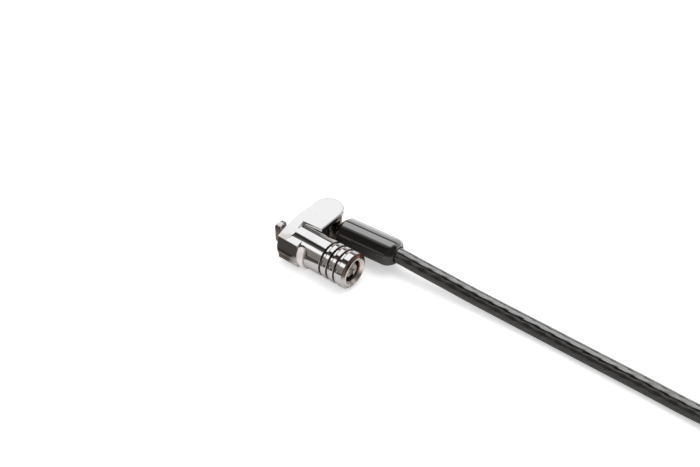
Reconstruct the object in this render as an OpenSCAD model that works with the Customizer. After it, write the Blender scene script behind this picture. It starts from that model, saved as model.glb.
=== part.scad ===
// Laptop cable lock: a die-cast lock head on a swivelling black cable.
// X runs outwards along the lock's axis, Y towards the hinged cable arm, Z up.
// The lock lies on the plane z = 0. All sizes are in millimetres.

/* [Barrel] */
// outside diameter of the round barrel
barrel_d = 10.3; // [9.4:0.1:12.4]
// length from the device face to the key-end rim
barrel_l = 22.5; // [21:0.1:28]
// centre of the first groove, measured back from the key end
groove_back = 8.2; // [7:0.1:9]
// distance from one groove to the next
groove_pitch = 2.35; // [2:0.05:3]
// number of grooves
groove_n = 3; // [1:1:3]
// width of a groove
groove_w = 0.5; // [0.4:0.05:0.8]
// depth of a groove
groove_deep = 0.55; // [0.3:0.05:0.6]
// length of the tapered key end
end_l = 1.1; // [0.6:0.1:2]
// diameter of the key-end rim
rim_d = 7.8; // [7:0.1:9]
// diameter of the hole that the key goes through
mouth_d = 6; // [5:0.1:6.1]
// length of the funnel inside the rim
funnel_l = 0.95; // [0.5:0.05:1.2]

/* [Hood and fork] */
// length of the arched hood at the device end
hood_l = 3.3; // [2.5:0.1:5]
// slope of the hood's near half, in degrees
hood_slope = 18.5; // [17:0.5:22]
// how far the shoulder's near edge lies inside the barrel's side
shoulder_in = 0.15; // [0:0.05:0.3]
// how far the shoulder's edge lies below the barrel's top
shoulder_low = 1.35; // [1.1:0.01:1.45]
// slope of the shoulder's top, in degrees
shoulder_slope = 12; // [6:1:14]
// length of the shoulder from the device face
shoulder_l = 6.75; // [6:0.05:7.2]
// height of the collar below the shoulder, above the barrel
collar_rise = 0.4; // [0.15:0.05:0.8]
// width of a fork ear along the lock's axis
ear_w = 8.9; // [8:0.1:11]
// thickness of a fork ear
ear_t = 1.4; // [0.8:0.1:1.5]
// height of the ear's outer face above the barrel
ear_rise = 0.53; // [0.51:0.01:1.5]
// rounding of the ear's outer edges
ear_edge = 0.45; // [0.1:0.05:0.45]
// distance from the barrel's side to the hinge pin
arm_out = 5.5; // [5.2:0.1:9]
// distance from the barrel's side to the outer face of the web
web_out = 0.75; // [0.3:0.05:1]
// diameter of the hinge pin
pin_d = 2.6; // [2:0.1:3.2]

/* [Device side] */
// thickness of the nose bushing's flange
nose_t = 1.5; // [1:0.1:2]
// diameter of the nose bushing
nose_d = 8.6; // [8.4:0.1:9]
// distance between the two guide pins
guide_gap = 4.9; // [4.6:0.1:5.3]
// diameter of a guide pin
guide_d = 1.5; // [1.2:0.1:1.6]
// length that a guide pin stands out of the device face
guide_l = 2.1; // [1.6:0.1:2.2]
// long side of the T-bar's head
tbar_long = 6.5; // [5.5:0.1:6.8]
// short side of the T-bar's head
tbar_short = 2.6; // [2:0.1:2.8]
// thickness of the T-bar's head
tbar_t = 2; // [1.5:0.1:2.5]
// gap between the device face and the T-bar's head
tbar_gap = 2.4; // [2.3:0.1:3]
// diameter of the T-bar's neck
tbar_neck_d = 2.2; // [1.8:0.1:2.4]

/* [Lock works] */
// diameter of the pin block
block_d = 8.2; // [8:0.1:8.4]
// back face of the pin block, from the device face
block_x = 5.9; // [5.6:0.1:6.2]
// length of the key core, from the pin block to its front face
core_l = 5.42; // [5:0.02:6]
// diameter of the key core
core_d = 6.7; // [6.3:0.1:7]
// diameter of the core's centre post
post_d = 4.1; // [3.6:0.1:4.2]
// height of the flat on the centre post above its axis
post_flat = 0.3; // [0:0.1:1]
// depth of the ring slot for the key
key_slot = 2.6; // [2:0.1:3]
// diameter of the core's spindle
spindle_d = 3.2; // [3:0.1:3.4]
// number of pins
pin_n = 8; // [4:4:8]
// diameter of a key pin or driver pin
tumbler_d = 0.74; // [0.5:0.02:0.8]
// radius of the circle of pins
tumbler_r = 2.42; // [2.3:0.02:2.6]
// length of a key pin
key_pin_l = 3.5; // [3.2:0.1:4]
// length of a driver pin
driver_l = 2; // [1.5:0.1:2.5]
// depth of a spring chamber in the pin block
chamber_l = 6; // [5:0.1:6.4]
// wire diameter of a pin spring
spring_wire = 0.16; // [0.1:0.02:0.2]
// curls of a pin spring
spring_n = 5; // [3:1:6]
// width of the retaining clip along the lock's axis
clip_t = 2.1; // [1.4:0.1:2.2]
// height of the retaining clip above the barrel
clip_rise = 0.5; // [0.4:0.05:0.8]
// diameter of the pin that keys the pin block
block_pin_d = 1.1; // [0.8:0.1:1.2]

/* [Cable arm] */
// angle of the arm from the lock's axis, in degrees
arm_turn = 4.4; // [0:0.1:20]
// radius of the link's eye
eye_r = 3.9; // [3.4:0.1:4.2]
// radius of the eye's hub and of the washers
hub_r = 2.8; // [2.4:0.1:3.2]
// thickness of a hinge washer
washer_t = 0.4; // [0.3:0.05:0.5]
// diameter of the link's stem
stem_d = 3.2; // [2.6:0.1:3.4]
// diameter of the head on the stem
head_d = 4.5; // [4:0.1:4.8]
// length of the sleeve, measured from the hinge pin
sleeve_end = 23.5; // [21:0.1:30]
// wall of the sleeve beside the socket
sleeve_side_wall = 0.7; // [0.5:0.05:1]
// wall of the sleeve above the socket
sleeve_top_wall = 0.25; // [0.2:0.05:0.5]
// radius of the sleeve's crowned top, across its length
sleeve_crown = 6; // [5:0.5:20]
// rounding of the sleeve's long edges
sleeve_edge = 2.2; // [1:0.1:2.6]
// rounding of the sleeve's cable end, in plan
sleeve_nose = 2.5; // [1:0.1:2.6]
// gap between the cable's jacket and the socket inside the sleeve
socket_room = 0.3; // [0.25:0.05:0.4]
// wall of the socket
socket_wall = 0.5; // [0.4:0.05:0.6]

/* [Cable] */
// diameter of the cable over its jacket
cable_d = 4.4; // [4:0.1:5]
// diameter of the cable's steel core
cable_core_d = 3.2; // [2.8:0.1:3.4]
// gap between two turns in one layer of the hank
turn_gap = 0.7; // [0.6:0.1:1.6]
// gap between two layers of the hank
layer_gap = 0.5; // [0.45:0.05:1.1]
// width of the hank's tie
tie_w = 9; // [6:0.5:14]
// thickness of the hank's tie
tie_t = 0.8; // [0.5:0.1:1.5]
// length of the crimped sleeve on the end loop
crimp_l = 15; // [10:1:20]
// wall of the crimped sleeve
crimp_wall = 1.1; // [0.8:0.1:1.5]

/* [Fits] */
// radial gap of a running fit
run_fit = 0.05; // [0.02:0.01:0.1]
// radial gap of a pressed fit
press_gap = 0.01; // [0.01:0.01:0.02]
// gap along the axis between two faces that turn on each other
face_gap = 0.04; // [0.02:0.01:0.1]
// gap between the sleeve and the ears
arm_gap = 0.4; // [0.3:0.05:0.6]

/* [Hidden] */
$fn = 48;

barrel_r = barrel_d/2;
groove_x = barrel_l - groove_back;
shoulder_y = barrel_r - shoulder_in;
shoulder_z = barrel_r - shoulder_low;
collar_r = barrel_r + collar_rise;
ear_top = barrel_r + ear_rise;
clip_r = barrel_r + clip_rise;
web_y = barrel_r + web_out;
pin_x = ear_w/2;
pin_y = barrel_r + arm_out;
sleeve_start = ear_w/2 + arm_gap;
ear_in = ear_top - ear_t;
bore_r = block_d/2 + press_gap;
core_bore_r = core_d/2 + run_fit;
core_end = barrel_l - funnel_l - 0.65;
shear_x = core_end - core_l;
tumbler_hole_r = tumbler_d/2 + run_fit - 0.02;
chamber_x = shear_x - face_gap - chamber_l;
clip_x = shoulder_l + 0.05;
slot_w = clip_t + 0.25;
clip_end = asin(clip_t/2/clip_r);
clip_in = block_d/2 - 0.6;
clip_from = 141;
clip_to = 303;
slot_from = 147;
tang_d = tbar_neck_d - 0.2;
tang_x = 2;
tang_end = 5;
cross_x = 3.6;
cross_d = 0.8;
spin_clip_t = 0.4;
spin_clip_x = block_x - 0.1 - spin_clip_t;
spin_groove_r = spindle_d/2 - 0.35;
hub_h = ear_in - washer_t - 2*face_gap;
cable_r = cable_d/2;
socket_bore_r = cable_r + socket_room;
socket_r = socket_bore_r + socket_wall;
sleeve_w = 2*(socket_r + sleeve_side_wall);
sleeve_h = 2*(socket_r + sleeve_top_wall);
eye_h = sleeve_h/2 + 0.05;
socket_x0 = sleeve_start + 0.6;
collar_x0 = socket_x0 + 1.45;
collar_x1 = collar_x0 + 2.1;
head_x0 = collar_x1 + 0.15;
head_x1 = head_x0 + 1.3;
ferrule_x0 = head_x1 + 1.95;
ferrule_x1 = sleeve_end - 3.5;
socket_x1 = sleeve_end - 1.6;
jacket_x = ferrule_x1 + 0.5;
turn_pitch = cable_d + turn_gap;
layer_h = cable_d + layer_gap;
block_pin_x = shear_x - 3.19;
block_pin_in = tumbler_r + tumbler_hole_r + 0.43;

// the origin: middle of the lock head's footprint, on the surface it lies on
foot = ear_top;
ca = cos(arm_turn);
sa = sin(arm_turn);
nose_c = sleeve_end - sleeve_nose;
side_c = sleeve_w/2 - sleeve_nose;
x_max = pin_x + nose_c*ca + side_c*sa + sleeve_nose;
x_min = -tbar_gap - tbar_t;
y_max = pin_y + nose_c*sa + side_c*ca + sleeve_nose;
y_min = -clip_r;
origin_x = (x_max + x_min)/2;
origin_y = (y_max + y_min)/2;

// ---- helpers: extrusions and turned parts along the lock's axis ----

// a flat shape in (y, z), pushed from x0 to x1
module along_x(x0, x1) {
  translate([x0, 0, 0])
    rotate([90, 0, 90])
      linear_extrude(x1 - x0) children();
}

// a flat shape in (x, z), pushed from y0 to y1
module along_y(y0, y1) {
  translate([0, y1, 0])
    rotate([90, 0, 0])
      linear_extrude(y1 - y0) children();
}

// a flat shape in (x, y), pushed from z0 to z1
module along_z(z0, z1) {
  translate([0, 0, z0])
    linear_extrude(z1 - z0) children();
}

// a round bar along x
module bar(r, x0, x1) {
  translate([x0, 0, 0])
    rotate([0, 90, 0])
      cylinder(r = r, h = x1 - x0);
}

// a turned part about the x axis from points (radius, x)
module turned(pts) {
  rotate([0, 90, 0])
    rotate_extrude() polygon(pts);
}

// a part of a ring about x, between two angles from +y towards +z
module ring_part(pts, a0, a1) {
  rotate([0, 90, 0])
    rotate([0, 0, a0 + 90])
      rotate_extrude(angle = a1 - a0) polygon(pts);
}

// what stands out from the axis at an angle a from +y and a place x
module radial(a, x) {
  translate([x, 0, 0])
    rotate([a - 90, 0, 0]) children();
}

// both of a mirrored pair, above and below the axis plane
module both_sides() {
  children();
  mirror([0, 0, 1]) children();
}

// a flat rectangle with round corners, centred
module soft_rect(w, h, r) {
  square([w - 2*r, h], center = true);
  square([w, h - 2*r], center = true);
  for (i = [-1, 1])
    for (j = [-1, 1])
      translate([i*(w/2 - r), j*(h/2 - r)])
        circle(r);
}

// the arm's own frame: its axis starts at the hinge pin
module on_arm() {
  translate([pin_x, pin_y, 0])
    rotate([0, 0, arm_turn]) children();
}

// copies on the circle of pins
module each_pin() {
  for (i = [0 : pin_n - 1])
    rotate([i*360/pin_n + 22.5, 0, 0])
      translate([0, 0, tumbler_r]) children();
}

// ---- helpers: tubes ----

function unit(v) = v/norm(v);
function heading(p, i) =
  unit(p[min(i + 1, len(p) - 1)] - p[max(i - 1, 0)]);
function ring_at(c, t, r, n) =
  let (s = unit(cross([0, 0, 1], t)), u = cross(t, s))
  [for (k = [0 : n - 1])
    c + r*(cos((k + 0.5)*360/n)*s + sin((k + 0.5)*360/n)*u)];
function tube_points(p, r, n) =
  [for (i = [0 : len(p) - 1]) each ring_at(p[i], heading(p, i), r, n)];
function tube_faces(m, n) = concat(
  [for (k = [1 : n - 2]) [0, k + 1, k]],
  [for (i = [0 : m - 2]) for (k = [0 : n - 1])
    each let (a = i*n + k, b = i*n + (k + 1)%n)
      [[a, b, b + n], [a, b + n, a + n]]],
  [for (k = [1 : n - 2]) let (e = (m - 1)*n) [e, e + k, e + k + 1]]);

// one unbroken tube through the points, with flat ends
module tube(p, r, n) {
  polyhedron(points = tube_points(p, r, n), faces = tube_faces(len(p), n));
}

// ---- the lock body ----

// outline of the barrel, as points (radius, x)
function groove_profile(i) =
  let (a = groove_x + i*groove_pitch - groove_w/2, b = a + groove_w,
    r = barrel_r)
  [[r, a - 0.08], [r - 0.08, a], [r - groove_deep, a + 0.08],
    [r - groove_deep, b - 0.08], [r - 0.24, b], [r - 0.06, b + 0.6],
    [r - 0.12, b + 0.66], [r, b + 0.8]];
barrel_outline = concat([[0, 0], [barrel_r, 0]],
  [for (i = [0 : groove_n - 1]) each groove_profile(i)],
  [[barrel_r, barrel_l - end_l], [barrel_r - 0.12, barrel_l - end_l + 0.14],
    [rim_d/2 + 0.28, barrel_l - 0.16], [rim_d/2 + 0.1, barrel_l - 0.03],
    [rim_d/2, barrel_l], [0, barrel_l]]);

// everything that is open inside the barrel, as points (radius, x)
bore_outline = [[0, -1], [nose_d/2 + press_gap, -1],
  [nose_d/2 + press_gap, nose_t], [bore_r, nose_t], [bore_r, shear_x],
  [core_bore_r, shear_x], [core_bore_r, core_end + face_gap],
  [mouth_d/2, core_end + face_gap], [mouth_d/2, barrel_l - funnel_l],
  [mouth_d/2 + 0.1, barrel_l - funnel_l + 0.12],
  [rim_d/2 - 0.12, barrel_l - 0.1], [rim_d/2 - 0.02, barrel_l + 0.01],
  [rim_d/2 - 0.02, barrel_l + 1], [0, barrel_l + 1]];

wall_z = sqrt(collar_r*collar_r - shoulder_y*shoulder_y);

// squared shoulder and collar, in (y, z)
module shoulder_shape() {
  half = [[0, 0], [0, shoulder_z + shoulder_y*tan(shoulder_slope)],
    [-shoulder_y + 0.08, shoulder_z], [-shoulder_y, shoulder_z - 0.08],
    [-shoulder_y, 0]];
  polygon(half);
  mirror([0, 1]) polygon(half);
  intersection() {
    circle(collar_r);
    translate([-collar_r, -wall_z - 0.2]) square([collar_r, 2*wall_z + 0.4]);
  }
}

// the hood rises from the shoulder's edge in a flat, then sweeps to the ear
sweep_y0 = -1;
sweep_y1 = barrel_r - 0.35;
sweep_z0 = shoulder_z + (shoulder_y + sweep_y0)*tan(hood_slope);
sweep_slope = tan(hood_slope)*(sweep_y1 - sweep_y0);
function sweep(t) = (2*t*t*t - 3*t*t + 1)*sweep_z0
  + (t*t*t - 2*t*t + t)*sweep_slope + (3*t*t - 2*t*t*t)*ear_top;

// the arched hood, in (y, z), from the shoulder to the ears
module hood_shape() {
  half = concat([[0, 0], [-shoulder_y, 0], [-shoulder_y, shoulder_z - 0.08],
      [-shoulder_y + 0.08, shoulder_z + 0.08*tan(hood_slope)]],
    [for (i = [0 : 12]) [sweep_y0 + (sweep_y1 - sweep_y0)*i/12, sweep(i/12)]],
    [[sweep_y1, 0]]);
  intersection() {
    union() {
      polygon(half);
      mirror([0, 1]) polygon(half);
    }
    translate([-shoulder_y, -ear_top])
      square([shoulder_y + sweep_y1, 2*ear_top]);
  }
}

// the hood fades into the barrel along this turned envelope
hood_fade = [[0, 0], [barrel_r + 3.85, 0], [barrel_r + 3.85, hood_l - 1.2],
  [barrel_r + 1.15, hood_l - 0.7], [barrel_r + 0.47, hood_l - 0.22],
  [barrel_r + 0.15, hood_l + 0.02], [barrel_r - 0.02, hood_l + 0.3],
  [0, hood_l + 0.3]];

// section of one ear along x, in (x, z), with soft outer edges
function soft_corner(cx, cz, a0) =
  [for (i = [0 : 4]) [cx + ear_edge*cos(a0 + i*22.5),
    cz + ear_edge*sin(a0 + i*22.5)]];
ear_section = concat([[0, ear_in], [ear_w, ear_in]],
  soft_corner(ear_w - ear_edge, ear_top - ear_edge, 0),
  soft_corner(ear_edge, ear_top - ear_edge, 90));
ear_half_section = concat([[0, ear_in], [ear_w/2, ear_in]],
  soft_corner(ear_w/2 - ear_edge, ear_top - ear_edge, 0), [[0, ear_top]]);

// one lobe-shaped ear
module ear() {
  root = barrel_r - 0.85;
  along_y(root - 0.1, pin_y) polygon(ear_section);
  intersection() {
    along_y(root - 2.3, root) polygon(ear_section);
    along_z(0, 9) polygon([[-1, root], [-1, root - 0.7],
      [hood_l - 0.6, root - 2.1], [hood_l, root - 2],
      [ear_w + 1, root - 1.45], [ear_w + 1, root]]);
  }
  intersection() {
    translate([pin_x, pin_y, 0])
      rotate_extrude() polygon(ear_half_section);
    along_z(0, 9) translate([-1, pin_y]) square([ear_w + 2, ear_w]);
  }
}

// die-cast body: barrel, shoulder, hood, web and the two ears
module housing() {
  color([0.86, 0.87, 0.88])
  difference() {
    union() {
      turned(barrel_outline);
      along_x(0, shoulder_l) shoulder_shape();
      intersection() {
        along_x(0, hood_l + 0.3) hood_shape();
        turned(hood_fade);
      }
      both_sides() ear();
      along_x(0, ear_w) translate([barrel_r - 2.25, -ear_in - 0.1])
        square([web_out + 2.25, 2*ear_in + 0.2]);
    }
    turned(bore_outline);
    // slot for the retaining clip
    ring_part([[clip_in - 0.5, shoulder_l], [collar_r + 2, shoulder_l],
      [collar_r + 2, shoulder_l + slot_w], [clip_in - 0.5, shoulder_l + slot_w]],
      slot_from, clip_to + 1);
    // round end of that slot, and a finger recess beside the clip's end
    radial(slot_from, shoulder_l + slot_w/2)
      cylinder(r = slot_w/2 + 0.03, h = 9);
    intersection() {
      radial(clip_from + clip_end + 5, clip_x + clip_t/2 + 0.45)
        cylinder(r = clip_t/2 + 0.6, h = 9);
      turned([[bore_r + 0.5, shoulder_l + 0.03],
        [collar_r + 2, shoulder_l + 0.03], [collar_r + 2, shoulder_l + 5],
        [bore_r + 0.5, shoulder_l + 5]]);
    }
    // hole for the hinge pin, blind in the upper ear
    translate([pin_x, pin_y, -ear_top - 1])
      cylinder(d = pin_d + 2*press_gap, h = 2*ear_top - 0.45 + 1);
    // hole for the pin that keys the pin block
    translate([block_pin_x, 0, -barrel_r - 1])
      cylinder(d = block_pin_d + 2*press_gap, h = barrel_r);
  }
}

// flanged bushing that closes the device end
module nose_bushing() {
  color([0.6, 0.6, 0.62])
  difference() {
    union() {
      bar(nose_d/2, 0, nose_t);
      bar(block_d/2 - 0.4, nose_t, nose_t + 0.4);
    }
    bar(tbar_neck_d/2 + run_fit, -1, tang_x + 0.05);
    for (i = [-1, 1])
      translate([0, i*guide_gap/2, 0])
        bar(guide_d/2 + press_gap, -1, nose_t + 1);
  }
}

// two pins that sit beside the T-bar in the device's slot
module guide_pins() {
  color([0.75, 0.76, 0.78])
  for (i = [-1, 1])
    translate([0, i*guide_gap/2, 0])
      turned([[0, -guide_l], [guide_d/2 - 0.2, -guide_l],
        [guide_d/2, -guide_l + 0.25], [guide_d/2, nose_t + 0.35],
        [0, nose_t + 0.35]]);
}

// C-shaped clip in the slot on the barrel's near side, with a round end
module retaining_clip() {
  x0 = clip_x;
  x1 = clip_x + clip_t;
  section = [[clip_in, x0], [clip_r - 0.3, x0], [clip_r - 0.08, x0 + 0.1],
    [clip_r, x0 + 0.35], [clip_r, x1 - 0.35], [clip_r - 0.08, x1 - 0.1],
    [clip_r - 0.3, x1], [clip_in, x1]];
  color([0.8, 0.81, 0.83])
  union() {
    ring_part(section, clip_from + clip_end, clip_to);
    intersection() {
      ring_part(section, clip_from - 2, clip_from + clip_end + 2);
      radial(clip_from + clip_end, clip_x + clip_t/2)
        cylinder(d = clip_t + 0.06, h = 9);
    }
  }
}

// brass block with the chambers of the driver pins
module pin_block() {
  color([0.78, 0.64, 0.32])
  difference() {
    turned([[0, block_x], [block_d/2 - 0.25, block_x],
      [block_d/2, block_x + 0.25], [block_d/2, shear_x - face_gap],
      [0, shear_x - face_gap]]);
    bar(spindle_d/2 + run_fit, block_x - 1, shear_x + 1);
    turned([[clip_in - 0.05, shoulder_l], [block_d, shoulder_l],
      [block_d, shoulder_l + slot_w], [clip_in - 0.05, shoulder_l + slot_w]]);
    each_pin() bar(tumbler_hole_r, chamber_x, shear_x + 1);
    translate([block_pin_x, 0, -barrel_r - 1])
      cylinder(d = block_pin_d + 2*press_gap, h = barrel_r + 1 - block_pin_in);
  }
}

// pin through the body that stops the pin block from turning
module block_pin() {
  color([0.6, 0.6, 0.62])
  translate([block_pin_x, 0, -barrel_r + 0.1])
    cylinder(d = block_pin_d, h = barrel_r - 0.15 - block_pin_in);
}

// small springs behind the driver pins, drawn as they are when pressed
spring_x0 = chamber_x + 0.1;
spring_x1 = shear_x - face_gap - 0.02 - driver_l - 0.04;
spring_mean = tumbler_hole_r - spring_wire/2 - 0.03;
spring_rings = 8*spring_n;
spring_route = [for (i = [0 : spring_rings])
  let (a = i*360/8, t = i/spring_rings)
  [spring_mean*cos(a), spring_mean*sin(a),
    spring_x0 + spring_wire/2 + t*(spring_x1 - spring_x0 - spring_wire)]];
function coil_ring(c, t, r, n) =
  let (s = unit([c[0], c[1], 0]), u = cross(t, s))
  [for (k = [0 : n - 1]) c + r*(cos(k*360/n)*s + sin(k*360/n)*u)];

module pin_springs() {
  p = spring_route;
  color([0.7, 0.7, 0.72])
  each_pin()
    rotate([0, 90, 0])
      polyhedron(points = [for (i = [0 : len(p) - 1])
        each coil_ring(p[i], heading(p, i), spring_wire/2, 6)],
        faces = tube_faces(len(p), 6));
}

// driver pins, pushed back to the shear plane
module driver_pins() {
  e = shear_x - face_gap - 0.02;
  color([0.75, 0.76, 0.78])
  each_pin() turned([[0, e - driver_l], [tumbler_d/2 - 0.06, e - driver_l],
    [tumbler_d/2, e - driver_l + 0.06], [tumbler_d/2, e - 0.04],
    [tumbler_d/2 - 0.04, e], [0, e]]);
}

// ---- the turning core ----

// key pins in the core, pushed back to the shear plane
module key_pins() {
  s = shear_x + 0.04;
  e = s + key_pin_l;
  color([0.85, 0.7, 0.35])
  each_pin() turned([[0, s], [tumbler_d/2 - 0.04, s],
    [tumbler_d/2, s + 0.04], [tumbler_d/2, e - 0.2],
    [tumbler_d/2 - 0.18, e], [0, e]]);
}

// core with its spindle, ring slot for the key and D-shaped post
module key_core() {
  color([0.3, 0.3, 0.32])
  difference() {
    union() {
      bar(core_d/2, shear_x, core_end);
      turned([[0, tang_x], [spindle_d/2 - 0.15, tang_x],
        [spindle_d/2, tang_x + 0.15], [spindle_d/2, shear_x + 0.5],
        [0, shear_x + 0.5]]);
      difference() {
        turned([[0, shear_x + 1], [post_d/2, shear_x + 1],
          [post_d/2, core_end + 0.45], [post_d/2 - 0.2, core_end + 0.65],
          [0, core_end + 0.65]]);
        translate([core_end - key_slot + 0.9, -9 + post_flat, -9])
          cube([9, 9, 18]);
      }
    }
    turned([[post_d/2 + 0.001, core_end - key_slot],
      [mouth_d/2, core_end - key_slot], [mouth_d/2, core_end + 1],
      [post_d/2 + 0.001, core_end + 1]]);
    each_pin() bar(tumbler_hole_r, shear_x - 1, core_end - key_slot + 0.01);
    bar(tang_d/2 + press_gap, tang_x - 1, tang_end + 0.1);
    translate([cross_x, 0, -3]) cylinder(d = cross_d + 2*press_gap, h = 6);
    difference() {
      bar(spindle_d, spin_clip_x - 0.02, spin_clip_x + spin_clip_t + 0.02);
      bar(spin_groove_r, spin_clip_x - 1, spin_clip_x + 2);
    }
    // small index notch in the post
    translate([core_end + 0.25, post_flat - 0.6, -0.3]) cube([2, 1.2, 0.6]);
  }
}

// cross-headed nose that locks behind the device's slot
module t_bar() {
  color([0.75, 0.76, 0.78])
  difference() {
    union() {
      intersection() {
        turned([[0, x_min], [tbar_long/2 - 0.5, x_min],
          [tbar_long/2, x_min + 0.5], [tbar_long/2, -tbar_gap - 0.2],
          [tbar_long/2 - 0.2, -tbar_gap], [0, -tbar_gap]]);
        along_x(x_min - 1, 0)
          square([tbar_short, tbar_long + 1], center = true);
      }
      bar(tbar_neck_d/2, -tbar_gap - 0.5, tang_x - 0.1);
      bar(tang_d/2, 0, tang_end);
    }
    translate([cross_x, 0, -3]) cylinder(d = cross_d + 2*press_gap, h = 6);
  }
}

// cross pin through the spindle and the T-bar's tang
module t_bar_pin() {
  color([0.6, 0.6, 0.62])
  translate([cross_x, 0, -spindle_d/2 + 0.05])
    cylinder(d = cross_d, h = spindle_d - 0.1);
}

// open clip on the spindle, behind the pin block
module spindle_clip() {
  color([0.25, 0.25, 0.26])
  difference() {
    bar(spindle_d/2 + 0.9, spin_clip_x, spin_clip_x + spin_clip_t);
    bar(spin_groove_r + press_gap, spin_clip_x - 1, spin_clip_x + 1);
    translate([spin_clip_x - 1, -spin_groove_r + 0.25, 0])
      cube([3, 2*spin_groove_r - 0.5, 6]);
  }
}

// ---- the cable arm ----

// headed pin, pressed in from below
module hinge_pin() {
  color([0.7, 0.71, 0.73])
  translate([pin_x, pin_y, 0])
    rotate_extrude() polygon([[0, -ear_top + 0.05], [pin_d/2 - 0.15, -ear_top + 0.05],
      [pin_d/2, -ear_top + 0.2], [pin_d/2, ear_top - 0.65],
      [pin_d/2 - 0.2, ear_top - 0.5], [0, ear_top - 0.5]]);
}

// eye between the ears, with the headed stem that the sleeve turns on
module link() {
  color([0.8, 0.81, 0.83])
  on_arm() difference() {
    union() {
      rotate_extrude() polygon([[0, -hub_h], [hub_r, -hub_h], [hub_r, -eye_h],
        [eye_r - 0.3, -eye_h], [eye_r, -eye_h + 0.3], [eye_r, eye_h - 0.3],
        [eye_r - 0.3, eye_h], [hub_r, eye_h], [hub_r, hub_h], [0, hub_h]]);
      turned([[0, 2], [stem_d/2, 2], [stem_d/2, head_x0], [head_d/2 - 0.1, head_x0],
        [head_d/2, head_x0 + 0.1], [head_d/2, head_x1 - 0.3],
        [head_d/2 - 0.3, head_x1], [0, head_x1]]);
    }
    translate([0, 0, -9]) cylinder(d = pin_d + 2*run_fit, h = 18);
  }
}

// two washers between the eye's hub and the ears
module hinge_washers() {
  color([0.78, 0.64, 0.32])
  on_arm() both_sides()
    translate([0, 0, hub_h + face_gap]) difference() {
      cylinder(r = hub_r, h = washer_t);
      translate([0, 0, -1]) cylinder(d = pin_d + 2*run_fit, h = 3);
    }
}

// plan and side outlines of the sleeve
sleeve_l = sleeve_end - sleeve_start;
module sleeve_plan() {
  hw = sleeve_w/2;
  translate([sleeve_start, 0]) {
    translate([0, -hw + 0.9]) square([sleeve_l - sleeve_nose, sleeve_w - 1.8]);
    translate([0.9, -hw]) square([sleeve_l - sleeve_nose - 0.9, sleeve_w]);
    for (j = [-1, 1])
      translate([0.9, j*(hw - 0.9)]) circle(0.9);
    translate([0, -hw + sleeve_nose])
      square([sleeve_l, sleeve_w - 2*sleeve_nose]);
    for (j = [-1, 1])
      translate([sleeve_l - sleeve_nose, j*(hw - sleeve_nose)])
        circle(sleeve_nose);
  }
}
module sleeve_side() {
  hh = sleeve_h/2;
  r = 1.8;
  translate([sleeve_start, 0]) {
    translate([0, -hh + 0.7]) square([sleeve_l - r, sleeve_h - 1.4]);
    translate([0.7, -hh]) square([sleeve_l - r - 0.7, sleeve_h]);
    for (j = [-1, 1])
      translate([0.7, j*(hh - 0.7)]) circle(0.7);
    translate([0, -hh + r]) square([sleeve_l, sleeve_h - 2*r]);
    for (j = [-1, 1])
      translate([sleeve_l - r, j*(hh - r)]) circle(r);
  }
}

// section of the sleeve in (y, z): crowned top and bottom, round edges
module sleeve_section() {
  intersection() {
    soft_rect(sleeve_w, sleeve_h, sleeve_edge);
    translate([0, sleeve_h/2 - sleeve_crown]) circle(sleeve_crown, $fn = 96);
    translate([0, sleeve_crown - sleeve_h/2]) circle(sleeve_crown, $fn = 96);
  }
}

// black overmould over the swivel socket and the cable's ferrule
module cable_sleeve() {
  color([0.06, 0.06, 0.07])
  on_arm() difference() {
    intersection() {
      along_z(-9, 9) sleeve_plan();
      along_y(-9, 9) sleeve_side();
      along_x(0, sleeve_end + 1) sleeve_section();
    }
    bar(stem_d/2 + 0.3, 0, socket_x0 + 1);
    bar(socket_r + press_gap, socket_x0, socket_x1);
    turned([[0, socket_x1 - 1], [cable_r + run_fit, socket_x1 - 1],
      [cable_r + run_fit, sleeve_end - 0.35], [cable_r + 0.4, sleeve_end + 0.01],
      [cable_r + 0.4, sleeve_end + 1], [0, sleeve_end + 1]]);
  }
}

// steel socket that the link's head turns in
module swivel_socket() {
  color([0.7, 0.71, 0.73])
  on_arm() difference() {
    bar(socket_r, socket_x0, socket_x1);
    bar(socket_bore_r, socket_x0 - 1, ferrule_x0 - 1.2);
    bar(cable_core_d/2 + 0.1, ferrule_x0 - 2, ferrule_x0 + 1);
    bar(socket_bore_r, ferrule_x0, socket_x1 + 1);
  }
}

// ring pressed into the socket in front of the link's head
module swivel_collar() {
  color([0.78, 0.64, 0.32])
  on_arm() difference() {
    bar(socket_bore_r - press_gap, collar_x0, collar_x1);
    bar(stem_d/2 + run_fit, collar_x0 - 1, collar_x1 + 1);
  }
}

// ferrule crimped on the cable's bare core
module cable_ferrule() {
  color([0.62, 0.63, 0.65])
  on_arm() difference() {
    turned([[0, ferrule_x0], [socket_bore_r - press_gap, ferrule_x0],
      [socket_bore_r - press_gap, ferrule_x1 - 0.3],
      [socket_bore_r - 0.3, ferrule_x1], [0, ferrule_x1]]);
    bar(cable_core_d/2 + press_gap, ferrule_x0 - 1, ferrule_x1 + 1);
  }
}

// stripped steel core of the cable, inside the ferrule
module cable_core() {
  color([0.55, 0.56, 0.58])
  on_arm() bar(cable_core_d/2, ferrule_x0 + 0.1, jacket_x - 0.05);
}

// ---- the cable, in the lock's frame with z = 0 on the lock's axis ----

lay_z = cable_r - foot;
// the tie's strap lies under the hank
hank_z = lay_z + tie_t + 0.1;
function on_arm_point(s) = [pin_x + s*ca, pin_y + s*sa, 0];
// chosen points of the free run, after the sleeve
run_points = [[34, 12.95, -0.7], [42, 13.6, -1.5], [50, 14.2, -2.3],
  [60, 14.85, -2.95], [70, 15.3, -3.35]];
run_flat = [[80, 15.5], [90, 15.6], [100, 15.7], [110, 15.7]];
cable_route = concat([on_arm_point(jacket_x), on_arm_point(sleeve_end)],
  run_points, [for (p = run_flat) [p[0], p[1], lay_z]],
  [[118, 15.7, hank_z - 0.45], [125, 15.7, hank_z], [130, 15.7, hank_z]]);

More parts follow.
